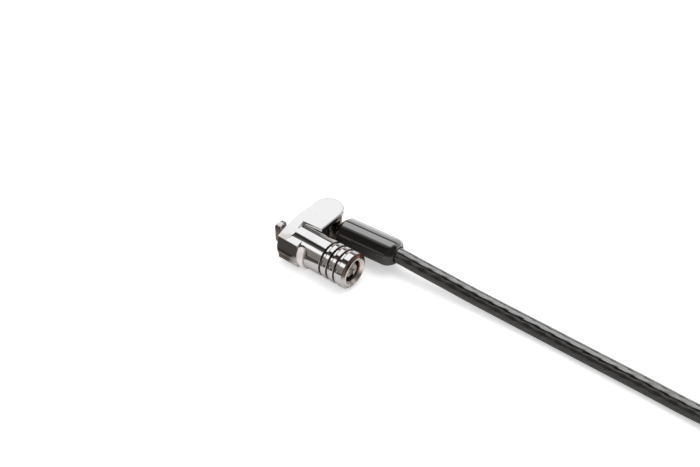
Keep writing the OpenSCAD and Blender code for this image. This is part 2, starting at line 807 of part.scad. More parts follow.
// the hank: stadium loops that spiral in and out in four layers
hank_y = -5.3;
hank_x0 = 149;
hank_x1 = 221;
hank_r = 21;
hank_turns = 6;
half_layer = 1.5;
waist_in = 7;
waist_l = 32;
waist_x = (hank_x0 + hank_x1)/2;
function wave(s) = half_layer - abs(s%(2*half_layer) - half_layer);
function layer(s) =
  let (k = floor(s/half_layer + 0.5), c = k*half_layer, h = 0.25)
  k < 1 ? 0 : k > 3 ? 3 :
    k - 1 + min(1, max(0, (s - c + h)/(2*h)));
function waist(x) = abs(x - waist_x) > waist_l ? 0 :
  waist_in*(1 + cos(180*(x - waist_x)/waist_l))/2;
// one point of the hank at turn s: a run, a fold, a run and a fold
function hank_point(s) =
  let (u = s - floor(s), r = hank_r - turn_pitch*wave(s),
    z = hank_z + layer_h*layer(s), w = hank_x1 - hank_x0)
  u < 0.25 ? let (x = hank_x0 + w*u*4) [x, hank_y + r - waist(x), z] :
  u < 0.5 ? let (a = 90 - (u - 0.25)*720)
    [hank_x1 + r*cos(a), hank_y + r*sin(a), z] :
  u < 0.75 ? let (x = hank_x1 - w*(u - 0.5)*4) [x, hank_y - r + waist(x), z] :
  let (a = 270 - (u - 0.75)*720)
    [hank_x0 + r*cos(a), hank_y + r*sin(a), z];
hank_steps = 24*hank_turns;
tail_z = hank_z + 3*layer_h;
tail_x = hank_x0 + cable_d + 0.6;
hank_route = concat([[130, 15.7, hank_z], [136, 15.7, hank_z]],
  [for (i = [0 : hank_steps]) hank_point(i*hank_turns/hank_steps)],
  [[tail_x, 15.7, tail_z]]);

// least distance between parts of the hank that aren't neighbours
function gap_of(p, lo, hi, skip) = min([for (i = [lo : hi])
  for (j = [i + skip : len(p) - 1]) norm(p[i] - p[j])]);
function middles(p) = [for (i = [0 : len(p) - 2]) each
  [p[i], p[i]*0.75 + p[i + 1]*0.25, (p[i] + p[i + 1])/2,
    p[i]*0.25 + p[i + 1]*0.75]];
hank_dense = middles(hank_route);
echo(hank_gap = gap_of(hank_dense, 0, len(hank_dense) - 41, 40) - cable_d);  // cable_hank

// the end loop lies on the hank: a tail, the crimped sleeve, the eye
leg = cable_r + 0.15;
crimp_x = waist_x + tie_w/2 + 1;
loop_z = tail_z + cable_d + 1.4;
tail_points = [[tail_x, 15.7, tail_z], [tail_x + 4.5, 15.7, tail_z],
  [163, 15.2, tail_z + 1.6], [167.5, 12.6, tail_z + 4.4], [172, 8.4, loop_z],
  [176.5, 4, loop_z], [181, 0.4, loop_z], [185.5, -2, loop_z]];
// the eye, from the crimped sleeve's end and the middle between its legs
eye_points = [[4.5, 3.4], [8.5, 5.8], [12, 9], [16, 11.8], [20.5, 13.2],
  [25.4, 12.5], [29.6, 9.7], [32.4, 5.3], [33.2, 0], [32.4, -5.3],
  [29.6, -9.7], [25.4, -12.5], [20.5, -13.2], [16, -11.8], [12, -9],
  [8.5, -5.8], [4.5, -3.4]];
eye_drop = [0.1, 0.2, 0.4, 0.6, 0.8, 0.9, 1, 1, 1, 1, 1, 0.9, 0.8, 0.6, 0.4,
  0.2, 0.1];
loop_route = concat(tail_points,
  [for (d = [0, crimp_l/2, crimp_l]) [crimp_x + d, hank_y + leg, loop_z]],
  [for (i = [0 : len(eye_points) - 1]) [crimp_x + crimp_l + eye_points[i][0],
    hank_y + eye_points[i][1], loop_z - eye_drop[i]]],
  [for (d = [crimp_l, crimp_l/2, 1]) [crimp_x + d, hank_y - leg, loop_z]]);

function route_length(p) = [for (i = [0 : len(p) - 2]) norm(p[i + 1] - p[i])]
  * [for (i = [0 : len(p) - 2]) 1];
echo(cable_total = route_length(cable_route) + route_length(hank_route)  // cable_hank
    + route_length(loop_route));

module cable() {
  color([0.09, 0.09, 0.1])
  tube(cable_route, cable_r, 8);
}

module cable_hank() {
  color([0.09, 0.09, 0.1])
  tube(hank_route, cable_r, 6);
}

// strap round the hank's waist
module hank_tie() {
  in_w = 2*(hank_r - waist_in + cable_r + 0.2);
  in_h = 3*layer_h + cable_d + 0.3;
  zc = hank_z - cable_r - 0.1 + in_h/2;
  color([0.12, 0.12, 0.13])
  translate([0, hank_y, zc])
    along_x(waist_x - tie_w/2, waist_x + tie_w/2)
      difference() {
        soft_rect(in_w + 2*tie_t, in_h + 2*tie_t, 2.6);
        soft_rect(in_w, in_h, 1.8);
      }
}

// oval sleeve crimped on the two legs of the end loop
module end_crimp() {
  color([0.62, 0.63, 0.65])
  translate([0, hank_y, loop_z])
    difference() {
      along_x(crimp_x, crimp_x + crimp_l) {
        square([2*leg, cable_d + 2*crimp_wall], center = true);
        for (i = [-1, 1])
          translate([i*leg, 0]) circle(cable_r + crimp_wall);
      }
      for (i = [-1, 1])
        translate([0, i*leg, 0]) bar(cable_r + press_gap, crimp_x - 5, crimp_x + crimp_l + 5);
    }
}

module end_loop() {
  color([0.09, 0.09, 0.1])
  tube(loop_route, cable_r, 8);
}

// ---- placing ----

translate([-origin_x, -origin_y, foot]) {
  housing();
  nose_bushing();
  guide_pins();
  retaining_clip();
  pin_block();
  block_pin();
  pin_springs();
  driver_pins();
  key_pins();
  key_core();
  t_bar();
  t_bar_pin();
  spindle_clip();
  hinge_pin();
  link();
  hinge_washers();
  cable_sleeve();
  swivel_socket();
  swivel_collar();
  cable_ferrule();
  cable_core();
  cable();
  cable_hank();
  hank_tie();
  end_crimp();
  end_loop();
}
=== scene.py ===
import math
import bpy
import bmesh
from mathutils import Matrix, Vector


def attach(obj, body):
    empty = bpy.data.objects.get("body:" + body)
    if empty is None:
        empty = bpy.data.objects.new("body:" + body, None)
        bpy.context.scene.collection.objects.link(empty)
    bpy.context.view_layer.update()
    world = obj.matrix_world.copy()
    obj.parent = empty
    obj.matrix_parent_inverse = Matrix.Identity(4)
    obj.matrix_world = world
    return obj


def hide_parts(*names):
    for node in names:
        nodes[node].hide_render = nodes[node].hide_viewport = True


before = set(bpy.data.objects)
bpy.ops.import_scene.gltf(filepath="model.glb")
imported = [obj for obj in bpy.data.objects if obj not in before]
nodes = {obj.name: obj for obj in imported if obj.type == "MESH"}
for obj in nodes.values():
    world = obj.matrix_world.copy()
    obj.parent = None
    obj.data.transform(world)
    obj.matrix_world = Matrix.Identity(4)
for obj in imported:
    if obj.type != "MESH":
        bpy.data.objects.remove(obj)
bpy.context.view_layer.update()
scene = bpy.context.scene
mm = 0.001
print("frame loaded:", len(nodes), "nodes")

cameraSettings = {
    "place": (0.14393, -0.17350, 0.21001),
    "forward": (-0.4677, 0.5834, -0.6641),
    "lens": 57.91,
    "sensor": 36,
    "reach": (0.005, 20),
}


def makeCamera(s):
    data = bpy.data.cameras.new("shotCamera")
    data.lens = s["lens"]
    data.sensor_width = s["sensor"]
    data.clip_start, data.clip_end = s["reach"]
    camera = bpy.data.objects.new("shotCamera", data)
    scene.collection.objects.link(camera)
    turn = Vector(s["forward"]).to_track_quat("-Z", "Y")
    camera.matrix_world = Matrix.Translation(s["place"]) @ turn.to_matrix().to_4x4()
    scene.camera = camera


makeCamera(cameraSettings)
print("camera placed")

# The lock's axis runs along X. Routes are in mm from the device end of that axis.
headOrigin = Vector((11.790085, 5.153781, -5.68))  # this frame's origin, seen from there
axisY, axisZ = -headOrigin.y * mm, -headOrigin.z * mm  # the axis in this frame

# The cable's route repeats the solids' points.
cableSettings = {
    "diameter": 0.0044,
    "length": 1.8,
    "armTurn": 4.4,  # degrees
    "pin": (4.45, 10.65),  # hinge pin
    "jacketStart": 20.5,  # along the arm
    "sleeveEnd": 23.5,
    "sag": ((34, 12.95, -0.7), (42, 13.6, -1.5), (50, 14.2, -2.3), (60, 14.85, -2.95),
            (70, 15.3, -3.35)),
    "floorRun": ((80, 15.5), (90, 15.6), (100, 15.7), (110, 15.7)),
    "floorZ": -3.48,
    "hankRun": ((118, 15.7, -0.45), (125, 15.7, 0), (130, 15.7, 0), (136, 15.7, 0)),
    "hankZ": -2.58,
    "sides": 20,
    "steps": 5,
}

hankSettings = {
    "y": -5.3, "x0": 149, "x1": 221, "radius": 21, "turns": 6, "halfLayer": 1.5,
    "pitch": 5.1, "layer": 4.9, "layers": 4, "climb": 0.5, "waistIn": 7, "waistLength": 32,
    "steps": 24,
}

loopSettings = {
    "leg": 2.35, "crimpX": 190.5, "crimpLength": 15, "rise": 5.8,
    "climb": ((154, 15.7, 0), (158.5, 15.7, 0), (163, 15.2, 1.6), (167.5, 12.6, 4.4)),
    "cross": ((172, 8.4), (176.5, 4), (181, 0.4), (185.5, -2)),
    "eye": ((4.5, 3.4), (8.5, 5.8), (12, 9), (16, 11.8), (20.5, 13.2), (25.4, 12.5),
            (29.6, 9.7), (32.4, 5.3), (33.2, 0)),
    "drop": (0.1, 0.2, 0.4, 0.6, 0.8, 0.9, 1, 1, 1),
}


def toFrame(p):
    return (Vector(p) - headOrigin) * mm


def armPoint(s):
    c = cableSettings
    a = math.radians(c["armTurn"])
    return (c["pin"][0] + s * math.cos(a), c["pin"][1] + s * math.sin(a), 0)


# a point of the hank's winding after s turns; each quarter is a straight or an end bend,
# and a bend turns 180 degrees in its quarter
def hankPoint(s, h):
    u = s - math.floor(s)
    half = h["halfLayer"]
    r = h["radius"] - h["pitch"] * (half - abs(s % (2 * half) - half))
    k = math.floor(s / half + 0.5)
    if 1 <= k < h["layers"]:
        level = k - 1 + min(1, max(0, (s - k * half + h["climb"] / 2) / h["climb"]))
    else:
        level = 0 if k < 1 else h["layers"] - 1
    z = cableSettings["hankZ"] + h["layer"] * level
    wide = h["x1"] - h["x0"]
    middle = (h["x0"] + h["x1"]) / 2

    def waist(x):
        if abs(x - middle) > h["waistLength"]:
            return 0
        return h["waistIn"] * (1 + math.cos(math.pi * (x - middle) / h["waistLength"])) / 2

    if u < 0.25:
        x = h["x0"] + wide * u * 4
        return (x, h["y"] + r - waist(x), z)
    if u < 0.5:
        a = math.radians(90 - (u - 0.25) * 720)
        return (h["x1"] + r * math.cos(a), h["y"] + r * math.sin(a), z)
    if u < 0.75:
        x = h["x1"] - wide * (u - 0.5) * 4
        return (x, h["y"] - r + waist(x), z)
    a = math.radians(270 - (u - 0.75) * 720)
    return (h["x0"] + r * math.cos(a), h["y"] + r * math.sin(a), z)


def cableRoute(c, h, e):
    route = [armPoint(c["jacketStart"]), armPoint(c["sleeveEnd"]), *c["sag"]]
    route += [(x, y, c["floorZ"]) for x, y in c["floorRun"]]
    route += [(x, y, c["hankZ"] + up) for x, y, up in c["hankRun"]]
    steps = h["steps"] * h["turns"]
    route += [hankPoint(i * h["turns"] / steps, h) for i in range(steps + 1)]
    topZ = c["hankZ"] + (h["layers"] - 1) * h["layer"]
    loopZ = topZ + e["rise"]
    route += [(x, y, topZ + up) for x, y, up in e["climb"]]
    route += [(x, y, loopZ) for x, y in e["cross"]]
    near, far, length = h["y"] + e["leg"], h["y"] - e["leg"], e["crimpLength"]
    route += [(e["crimpX"] + x, near, loopZ) for x in (0, length / 2, length)]
    eyeX = e["crimpX"] + length
    half = [(eyeX + x, h["y"] + y, loopZ - d) for (x, y), d in zip(e["eye"], e["drop"])]
    route += half + [(x, 2 * h["y"] - y, z) for x, y, z in reversed(half[:-1])]
    route += [(e["crimpX"] + x, far, loopZ) for x in (length, length / 2, 1)]
    return [toFrame(p) for p in route]


# a point of the smooth line through b and c
def smoothPoint(a, b, c, d, t):
    bend = 2 * a - 5 * b + 4 * c - d
    return 0.5 * (2 * b + (c - a) * t + bend * t * t + (3 * b - a - 3 * c + d) * t ** 3)


def smoothRoute(points, steps):
    line = [points[0]]
    for i in range(len(points) - 1):
        a, b, c = points[max(i - 1, 0)], points[i], points[i + 1]
        d = points[min(i + 2, len(points) - 1)]
        line += [smoothPoint(a, b, c, d, k / steps) for k in range(1, steps + 1)]
    return line


def addPiece(name, mesh):
    piece = bpy.data.objects.new(name, mesh)
    scene.collection.objects.link(piece)
    return piece


def makeTube(name, line, radius, sides):
    curve = bpy.data.curves.new(name + "Line", "CURVE")
    curve.dimensions = "3D"
    curve.twist_mode = "Z_UP"
    curve.bevel_depth = radius
    curve.bevel_resolution = max(0, sides // 4 - 1)
    curve.use_fill_caps = True
    spline = curve.splines.new("POLY")
    spline.points.add(len(line) - 1)
    for point, place in zip(spline.points, line):
        point.co = (*place, 1)
    shape = addPiece(name + "Line", curve)
    bpy.context.view_layer.update()
    swept = shape.evaluated_get(bpy.context.evaluated_depsgraph_get())
    mesh = bpy.data.meshes.new_from_object(swept)
    mesh.name = name
    bpy.data.objects.remove(shape)
    for face in mesh.polygons:
        face.use_smooth = len(face.vertices) == 4
    return addPiece(name, mesh)


# UVs in metres along the line, and as a share of a turn round the tube
def layTubeUv(mesh, line):
    along = [0]
    for a, b in zip(line, line[1:]):
        along.append(along[-1] + (b - a).length)
    layer = mesh.uv_layers.active or mesh.uv_layers.new(name="tube")
    layer.name = "tube"
    count = len(line) - 1
    top = max(uv.uv.x for uv in layer.data) or 1
    for uv in layer.data:
        t = uv.uv.x / top * count
        i = min(int(t), count - 1)
        uv.uv.x = along[i] + (along[i + 1] - along[i]) * (t - i)


route = smoothRoute(cableRoute(cableSettings, hankSettings, loopSettings), cableSettings["steps"])
cable = makeTube("jacketedCable", route, cableSettings["diameter"] / 2, cableSettings["sides"])
layTubeUv(cable.data, route)
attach(cable, "arm")
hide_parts("cable", "cable_hank", "end_loop")
print("cable laid:", len(cable.data.polygons), "faces")


# Node helpers. A value is a number, a colour or another node's socket.
def addNode(tree, kind, **settings):
    node = tree.nodes.new(kind)
    for key, value in settings.items():
        setattr(node, key, value)
    return node


def feed(tree, socket, value):
    if hasattr(value, "links"):
        tree.links.new(value, socket)
    elif socket.type == "RGBA":
        socket.default_value = (*value, 1)
    else:
        socket.default_value = value


def addPlace(tree):
    return addNode(tree, "ShaderNodeTexCoord").outputs["Object"]


def addParts(tree, vector):
    node = addNode(tree, "ShaderNodeSeparateXYZ")
    feed(tree, node.inputs[0], vector)
    return node.outputs


def addNoise(tree, place, scale, detail, roughness, stretch=None):
    noise = addNode(tree, "ShaderNodeTexNoise")
    if stretch:
        mapping = addNode(tree, "ShaderNodeMapping")
        feed(tree, mapping.inputs["Scale"], stretch)
        feed(tree, mapping.inputs["Vector"], place)
        place = mapping.outputs["Vector"]
    values = (("Vector", place), ("Scale", scale), ("Detail", detail), ("Roughness", roughness))
    for label, value in values:
        feed(tree, noise.inputs[label], value)
    return noise.outputs["Fac"]


def addMath(tree, operation, a, b=0.0, clamp=False):
    node = addNode(tree, "ShaderNodeMath", operation=operation, use_clamp=clamp)
    feed(tree, node.inputs[0], a)
    feed(tree, node.inputs[1], b)
    return node.outputs[0]


def addProduct(tree, first, *others):
    for value in others:
        first = addMath(tree, "MULTIPLY", first, value)
    return first


# a starting value plus masks by their amounts
def addShares(tree, start, *shares):
    for mask, amount in shares:
        start = addMath(tree, "ADD", addMath(tree, "MULTIPLY", mask, amount), start)
    return start


def addRange(tree, value, low, high, outLow=0.0, outHigh=1.0):
    node = addNode(tree, "ShaderNodeMapRange")
    values = (("Value", value), ("From Min", low), ("From Max", high), ("To Min", outLow),
              ("To Max", outHigh))
    for label, number in values:
        feed(tree, node.inputs[label], number)
    return node.outputs["Result"]


def addMix(tree, factor, a, b):
    node = addNode(tree, "ShaderNodeMix", data_type="RGBA")
    for index, value in ((0, factor), (6, a), (7, b)):
        feed(tree, node.inputs[index], value)
    return node.outputs[2]


def addRamp(tree, value, stops):
    ramp = addNode(tree, "ShaderNodeValToRGB")
    while len(ramp.color_ramp.elements) < len(stops):
        ramp.color_ramp.elements.new(1.0)
    for element, (place, colour) in zip(ramp.color_ramp.elements, stops):
        element.position = place
        element.color = (*colour, 1)
    feed(tree, ramp.inputs["Fac"], value)
    return ramp.outputs["Color"]


def addBump(tree, shader, height, strength, distance):
    bump = addNode(tree, "ShaderNodeBump")
    for label, value in (("Strength", strength), ("Distance", distance), ("Height", height)):
        feed(tree, bump.inputs[label], value)
    feed(tree, shader.inputs["Normal"], bump.outputs["Normal"])
    return bump.outputs["Normal"]


def newGroup(name, inputs, outputs):
    tree = bpy.data.node_groups.new(name, "ShaderNodeTree")
    for label, value in inputs.items():
        socket = tree.interface.new_socket(label, in_out="INPUT", socket_type="NodeSocketFloat")
        socket.default_value = value
    for label in outputs:
        tree.interface.new_socket(label, in_out="OUTPUT", socket_type="NodeSocketFloat")
    given = tree.nodes.new("NodeGroupInput").outputs
    return tree, given, tree.nodes.new("NodeGroupOutput").inputs


# smudges from handling, in patches with soft edges, and fine streaks
handlingSettings = {"edge": 5.0, "streakSize": 2600, "streakStretch": (0.08, 1, 1),
                    "streaks": (0.55, 0.8)}


def makeHandling(s):
    tree, given, out = newGroup("handling", {"Patch Size": 90.0, "Patch Cover": 0.5},
                                ("Smudge", "Streak"))
    place = addPlace(tree)
    patches = addNoise(tree, place, given["Patch Size"], 4, 0.6)
    edge = addMath(tree, "SUBTRACT", patches, addMath(tree, "SUBTRACT", 1.0, given["Patch Cover"]))
    feed(tree, out["Smudge"], addMath(tree, "MULTIPLY", edge, s["edge"], clamp=True))
    streaks = addNoise(tree, place, s["streakSize"], 2, 0.5, stretch=s["streakStretch"])
    feed(tree, out["Streak"], addRange(tree, streaks, *s["streaks"]))
    return tree


# the faint orange peel and the pits of a polished and plated casting
castSettings = {"pitSize": 2400, "pits": (0.68, 0.8)}


def makeCastSkin(s):
    tree, given, out = newGroup("castSkin", {"Peel Size": 420.0, "Pit Amount": 0.3}, ("Height",))
    place = addPlace(tree)
    peel = addNoise(tree, place, given["Peel Size"], 2, 0.4)
    pits = addRange(tree, addNoise(tree, place, s["pitSize"], 3, 0.6), *s["pits"])
    pits = addMath(tree, "MULTIPLY", pits, given["Pit Amount"])
    feed(tree, out["Height"], addMath(tree, "SUBTRACT", peel, pits))
    return tree


# tool marks of a turned part, as rings about its axis
def makeTurningMarks():
    inputs = {"Along X": 1.0, "Along Y": 0.0, "Along Z": 0.0, "Ring Scale": 9000.0}
    tree, given, out = newGroup("turningMarks", inputs, ("Height",))
    x, y, z = addParts(tree, addPlace(tree))
    axis = addShares(tree, addMath(tree, "MULTIPLY", z, given["Along Z"]),
                     (y, given["Along Y"]), (x, given["Along X"]))
    line = addNode(tree, "ShaderNodeTexNoise", noise_dimensions="1D")
    for label, value in (("W", axis), ("Scale", given["Ring Scale"]), ("Detail", 2)):
        feed(tree, line.inputs[label], value)
    feed(tree, out["Height"], line.outputs["Fac"])
    return tree


# Grime and painted shade in the barrel's grooves, a painted reflection on the key end's chamfer and
# worn metal in its mouth; the painted marks are black on the near side and red beyond.
grimeShadeAndWearSettings = {
    "groovesFrom": -0.0051, "chamferFrom": 0.0099, "chamferTo": 0.01058, "mouthRadius": 0.00408,
    "mottleSize": 900, "grooveMottle": (0.3, 0.6, 0.55, 1.0), "paintedReflectionMottle": (0.2, 0.6, 0.88, 1.0),
    "drift": 0.0012,  # how far the mottle moves the painted reflection's borders
    "redFrom": (-0.0042, -0.0018),  # along Y: painted reflection and shade, black on the near side, red beyond
    "farEdge": (-0.0011, -0.0004, 1.0, 0.12),  # where the painted reflection thins out along Y
    "lowEdge": (0.0066, 0.0080, 0.08, 1.0),  # and along Z
    "wornRadius": (0.00404, 0.00412), "wornFrom": 0.0092,
}


def makeGrooveGrimeShadeAndWear(s):
    tree, given, out = newGroup("grooveGrimeShadeAndWear", {"Clean Radius": 0.005, "Deep Radius": 0.0046},
                                ("Mask", "Painted Red Side", "Worn"))
    place = addPlace(tree)
    x, y, z = addParts(tree, place)
    centred = addNode(tree, "ShaderNodeMapping")
    feed(tree, centred.inputs["Location"], (0, -axisY, -axisZ))
    feed(tree, centred.inputs["Scale"], (0, 1, 1))
    feed(tree, centred.inputs["Vector"], place)
    length = addNode(tree, "ShaderNodeVectorMath", operation="LENGTH")
    feed(tree, length.inputs[0], centred.outputs[0])
    radius = length.outputs["Value"]
    span = addMath(tree, "SUBTRACT", given["Clean Radius"], given["Deep Radius"])
    depth = addMath(tree, "SUBTRACT", given["Clean Radius"], radius)
    mottle = addNoise(tree, place, s["mottleSize"], 3, 0.6)
    # grime and painted shade in the grooves, darker towards their floor
    grooves = addProduct(tree, addMath(tree, "DIVIDE", depth, span, clamp=True),
                         addRange(tree, mottle, *s["grooveMottle"]),
                         addMath(tree, "GREATER_THAN", x, s["groovesFrom"]),
                         addMath(tree, "LESS_THAN", x, s["chamferFrom"]))
    drift = addMath(tree, "MULTIPLY", mottle, s["drift"])
    far = addMath(tree, "ADD", drift, y)
    # painted reflection on the key end's chamfer, in a mottled patch
    paintedChamferReflection = addProduct(tree, addMath(tree, "GREATER_THAN", x, s["chamferFrom"]),
                       addMath(tree, "LESS_THAN", x, s["chamferTo"]),
                       addMath(tree, "GREATER_THAN", radius, s["mouthRadius"]),
                       addRange(tree, mottle, *s["paintedReflectionMottle"]),
                       addRange(tree, far, *s["farEdge"]),
                       addRange(tree, addMath(tree, "ADD", drift, z), *s["lowEdge"]))
    feed(tree, out["Mask"], addMath(tree, "MAXIMUM", grooves, paintedChamferReflection))
    # the painted marks' tint by side: black on the near side, red beyond
    feed(tree, out["Painted Red Side"], addRange(tree, far, *s["redFrom"]))
    worn = addRange(tree, radius, *s["wornRadius"], 1.0, 0.0)
    worn = addMath(tree, "MULTIPLY", worn, addMath(tree, "GREATER_THAN", x, s["wornFrom"]))
    feed(tree, out["Worn"], worn)
    return tree


# painted sheen: faces turned to the large softbox, where a black coat keeps its full gloss
softboxWay = (0.0, 0.6, 0.8)


def makePaintedSheenSide():
    tree, given, out = newGroup("paintedSheenSide", {"Low": 0.3, "High": 0.5}, ("Mask",))
    turn = addNode(tree, "ShaderNodeVectorMath", operation="DOT_PRODUCT")
    feed(tree, turn.inputs[0], addNode(tree, "ShaderNodeNewGeometry").outputs["Normal"])
    feed(tree, turn.inputs[1], softboxWay)
    above = addMath(tree, "SUBTRACT", turn.outputs["Value"], given["Low"])
    span = addMath(tree, "SUBTRACT", given["High"], given["Low"])
    feed(tree, out["Mask"], addMath(tree, "DIVIDE", above, span, clamp=True))
    return tree


handling, castSkin = makeHandling(handlingSettings), makeCastSkin(castSettings)
turningMarks, paintedSheenSide = makeTurningMarks(), makePaintedSheenSide()
grooveGrimeShadeAndWear = makeGrooveGrimeShadeAndWear(grimeShadeAndWearSettings)


def newMaterial(name, **sockets):
    material = bpy.data.materials.new(name)
    material.use_nodes = True
    tree = material.node_tree
    shader = tree.nodes["Principled BSDF"]
    labels = {"coat": "Coat Weight", "coatRoughness": "Coat Roughness", "coatIor": "Coat IOR",
              "ior": "IOR"}
    for key, value in sockets.items():
        shader.inputs[labels.get(key, key.capitalize())].default_value = value
    return material, tree, shader


# places a group, with its inputs' names written as arguments
def addGroup(tree, group, **values):
    node = addNode(tree, "ShaderNodeGroup", node_tree=group)
    for key, value in values.items():
        label = "".join(" " + c if c.isupper() else c for c in key).strip().title()
        node.inputs[label].default_value = value
    return node.outputs


def addTouch(tree, s):
    return addGroup(tree, handling, patchSize=s["patchSize"], patchCover=s["patchCover"])


def addSkin(tree, shader, s):
    skin = addGroup(tree, castSkin, peelSize=s["peelSize"], pitAmount=s["pits"])
    addBump(tree, shader, skin["Height"], s["peel"], s["peelDepth"])


# painted sheen: full coat towards the softbox, little of it elsewhere
def addPaintedSheenCoat(tree, shader, s):
    lit = addGroup(tree, paintedSheenSide, low=s["lit"][0], high=s["lit"][1])["Mask"]
    feed(tree, shader.inputs["Coat Weight"], addRange(tree, lit, 0.0, 1.0, s["leastCoat"], 1.0))


chromeSettings = {
    # the dark and red colours below are painted shade and a painted reflection on the chamfer, and
    # grime with painted shade in the grooves
    "bright": (0.64, 0.635, 0.64), "smudged": (0.60, 0.59, 0.585), "grimeAndShade": (0.13, 0.09, 0.07),
    "paintedReflectionRed": (0.42, 0.165, 0.115), "worn": (0.80, 0.77, 0.74), "roughness": 0.045,
    "smudgeRough": 0.05, "grimeAndShadeRough": 0.22, "streakRough": 0.04, "wornRough": 0.26,
    "patchSize": 170.0, "patchCover": 0.46, "barrelRadius": 0.00490, "grooveRadius": 0.00466,
    "peelSize": 330.0, "pits": 0.08, "peel": 0.12, "peelDepth": 0.0002,
}


def makeChrome(s):
    material, tree, shader = newMaterial("platedChrome", metallic=1.0)
    touch = addTouch(tree, s)
    grimeAndShade = addGroup(tree, grooveGrimeShadeAndWear, cleanRadius=s["barrelRadius"],
                     deepRadius=s["grooveRadius"])
    base = addMix(tree, touch["Smudge"], s["bright"], s["smudged"])
    base = addMix(tree, grimeAndShade["Worn"], base, s["worn"])
    # grime and painted shade in the grooves and the painted reflection on the chamfer, black on the
    # near side and red beyond
    grimeAndPaintedShade = addMix(tree, grimeAndShade["Painted Red Side"], s["grimeAndShade"], s["paintedReflectionRed"])
    feed(tree, shader.inputs["Base Color"], addMix(tree, grimeAndShade["Mask"], base, grimeAndPaintedShade))
    rough = addShares(tree, s["roughness"], (touch["Smudge"], s["smudgeRough"]),
                      (grimeAndShade["Mask"], s["grimeAndShadeRough"]), (touch["Streak"], s["streakRough"]),
                      (grimeAndShade["Worn"], s["wornRough"]))
    feed(tree, shader.inputs["Roughness"], rough)
    addSkin(tree, shader, s)
    return material


turnedSettings = {
    "patchSize": 420.0, "patchCover": 0.5, "smudgeShade": 0.6, "smudgeRough": 0.12,
    "rings": (0.35, 0.65), "ringShade": 0.35, "marks": 0.25, "markDepth": 0.00004,
}


def makeTurnedMetal(name, colour, dark, roughness, axis, metallic=1.0, ringScale=9000.0):
    s = turnedSettings
    material, tree, shader = newMaterial(name, metallic=metallic)
    touch = addTouch(tree, s)
    rings = addGroup(tree, turningMarks, alongX=axis[0], alongY=axis[1], alongZ=axis[2],
                     ringScale=ringScale)
    ringShade = addRange(tree, rings["Height"], *s["rings"], 0.0, s["ringShade"])
    shade = addShares(tree, ringShade, (touch["Smudge"], s["smudgeShade"]))
    feed(tree, shader.inputs["Base Color"], addMix(tree, shade, colour, dark))
    feed(tree, shader.inputs["Roughness"],
         addShares(tree, roughness, (touch["Smudge"], s["smudgeRough"])))
    addBump(tree, shader, rings["Height"], s["marks"], s["markDepth"])
    return material


mouldingSettings = {
    "black": (0.002, 0.002, 0.0022), "smudged": (0.004, 0.0038, 0.004), "roughness": 0.07,
    "smudgeRough": 0.05, "streakRough": 0.05, "flank": (0.034, 0.030, 0.030), "flankRough": 0.3,
    "flankHeight": (0.0013, 0.0020), "patchSize": 150.0, "patchCover": 0.5, "ior": 1.5,
    "coatRoughness": 0.04, "coatIor": 2.7, "lit": (0.28, 0.42), "leastCoat": 0.06,
    "peelSize": 260.0, "pits": 0.05, "peel": 0.12, "peelDepth": 0.0002,
}


# polished top and bottom, satin flanks
def makeGlossMoulding(s):
    material, tree, shader = newMaterial("glossMoulding", metallic=0.0, ior=s["ior"], coat=1.0,
                                         coatRoughness=s["coatRoughness"], coatIor=s["coatIor"])
    touch = addTouch(tree, s)
    z = addParts(tree, addPlace(tree))[2]
    height = addMath(tree, "ABSOLUTE", addMath(tree, "SUBTRACT", z, axisZ))
    flank = addRange(tree, height, *s["flankHeight"], 1.0, 0.0)
    base = addMix(tree, touch["Smudge"], s["black"], s["smudged"])
    feed(tree, shader.inputs["Base Color"], addMix(tree, flank, base, s["flank"]))
    rough = addShares(tree, s["roughness"], (touch["Smudge"], s["smudgeRough"]),
                      (flank, s["flankRough"]), (touch["Streak"], s["streakRough"]))
    feed(tree, shader.inputs["Roughness"], rough)
    addPaintedSheenCoat(tree, shader, s)
    addSkin(tree, shader, s)
    return material


jacketSettings = {
    "black": (0.005, 0.005, 0.0053), "smudged": (0.010, 0.0095, 0.0095),
    "wire": (0.030, 0.025, 0.021), "lay": 0.027, "strands": 6, "wanderSize": 30,
    "layWander": 0.12, "laySwell": 0.36, "crests": (0.1, 0.9), "clearPatches": (0.35, 0.6),
    "grainSize": 1500, "grain": 0.15, "patchSize": 120.0, "patchCover": 0.5, "roughness": 0.13,
    "smudgeRough": 0.07, "ior": 1.4, "coatRoughness": 0.09, "coatIor": 2.9, "lit": (0.40, 0.56),
    "leastCoat": 0.12, "bump": 0.6, "bumpDepth": 0.00007,
}


